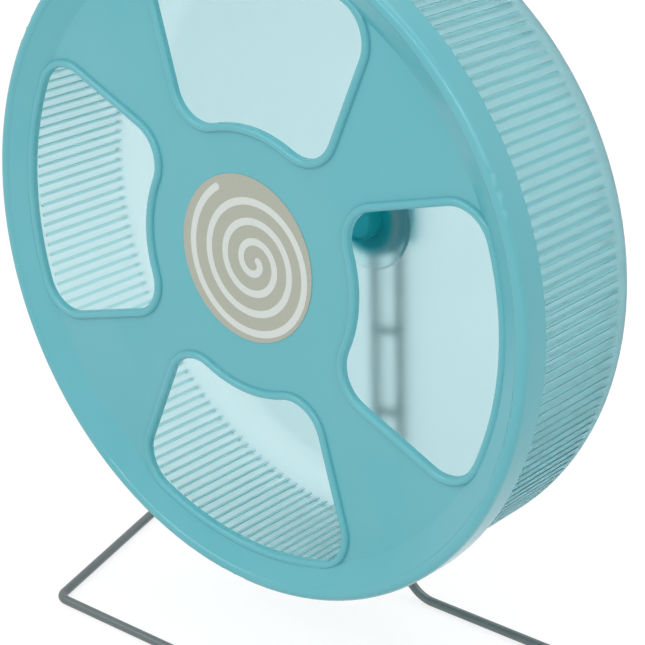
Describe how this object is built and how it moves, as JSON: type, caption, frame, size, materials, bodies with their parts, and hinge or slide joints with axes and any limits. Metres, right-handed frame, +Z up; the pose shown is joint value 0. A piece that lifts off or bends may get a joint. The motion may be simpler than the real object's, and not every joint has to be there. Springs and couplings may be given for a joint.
{
  "type": "rodent exercise wheel",
  "caption": "Pet exercise wheel: ribbed translucent drum with a teal windowed cover and spiral label, turning on a ball bearing held by a bent wire stand.",
  "frame": {"origin": "on the ground under the middle of the whole object's box, below the axle's line in X", "axes": "+Z up, +Y along the axle from the cover towards the stand's posts, +X to the right seen from the front"},
  "size_m": [0.28, 0.117, 0.321],
  "materials": {
    "cover_plastic": "glossy injection-moulded plastic, teal",
    "drum_plastic": "frosted translucent plastic, pale teal, satin",
    "hub_plastic": "satin moulded plastic, dark teal",
    "label": "satin printed sticker, beige with a pale spiral line",
    "stand_wire": "satin grey coated steel wire",
    "bearing_steel": "ground steel",
    "cage_brass": "pressed brass",
    "bolt_steel": "zinc-plated steel"
  },
  "bodies": {
    "stand": {"bearing_inner_ring": "bearing_steel", "axle_bolt": "bolt_steel", "axle_spacer": "bolt_steel", "hub_plate": "hub_plastic", "rear_clamp": "hub_plastic", "axle_nut": "bolt_steel", "post_left": "stand_wire", "post_right": "stand_wire", "post_top": "stand_wire", "upper_rung": "stand_wire", "lower_rung": "stand_wire", "base_left": "stand_wire", "base_right": "stand_wire", "front_bar": "stand_wire"},
    "wheel": {"drum": "drum_plastic", "front_cover": "cover_plastic", "round_label": "label", "hub_plug": "hub_plastic", "bearing_outer_ring": "bearing_steel", "bearing_front_shield": "bearing_steel", "bearing_rear_shield": "bearing_steel"},
    "ball_cage": {"bearing_cage": "cage_brass", "bearing_ball_1": "bearing_steel", "bearing_ball_2": "bearing_steel", "bearing_ball_3": "bearing_steel", "bearing_ball_4": "bearing_steel", "bearing_ball_5": "bearing_steel", "bearing_ball_6": "bearing_steel", "bearing_ball_7": "bearing_steel"}
  },
  "joints": [
    {"name": "wheel_spin", "type": "hinge", "parent": "stand", "child": "wheel", "pos_m": [0, 0, 0.181], "axis": [0, 1, 0], "continuous": true},
    {"name": "cage_spin", "type": "hinge", "parent": "stand", "child": "ball_cage", "pos_m": [0, 0, 0.181], "axis": [0, 1, 0], "continuous": true}
  ],
  "couplings": [
    {"joint": "cage_spin", "follows": "wheel_spin", "ratio": 0.632}
  ]
}
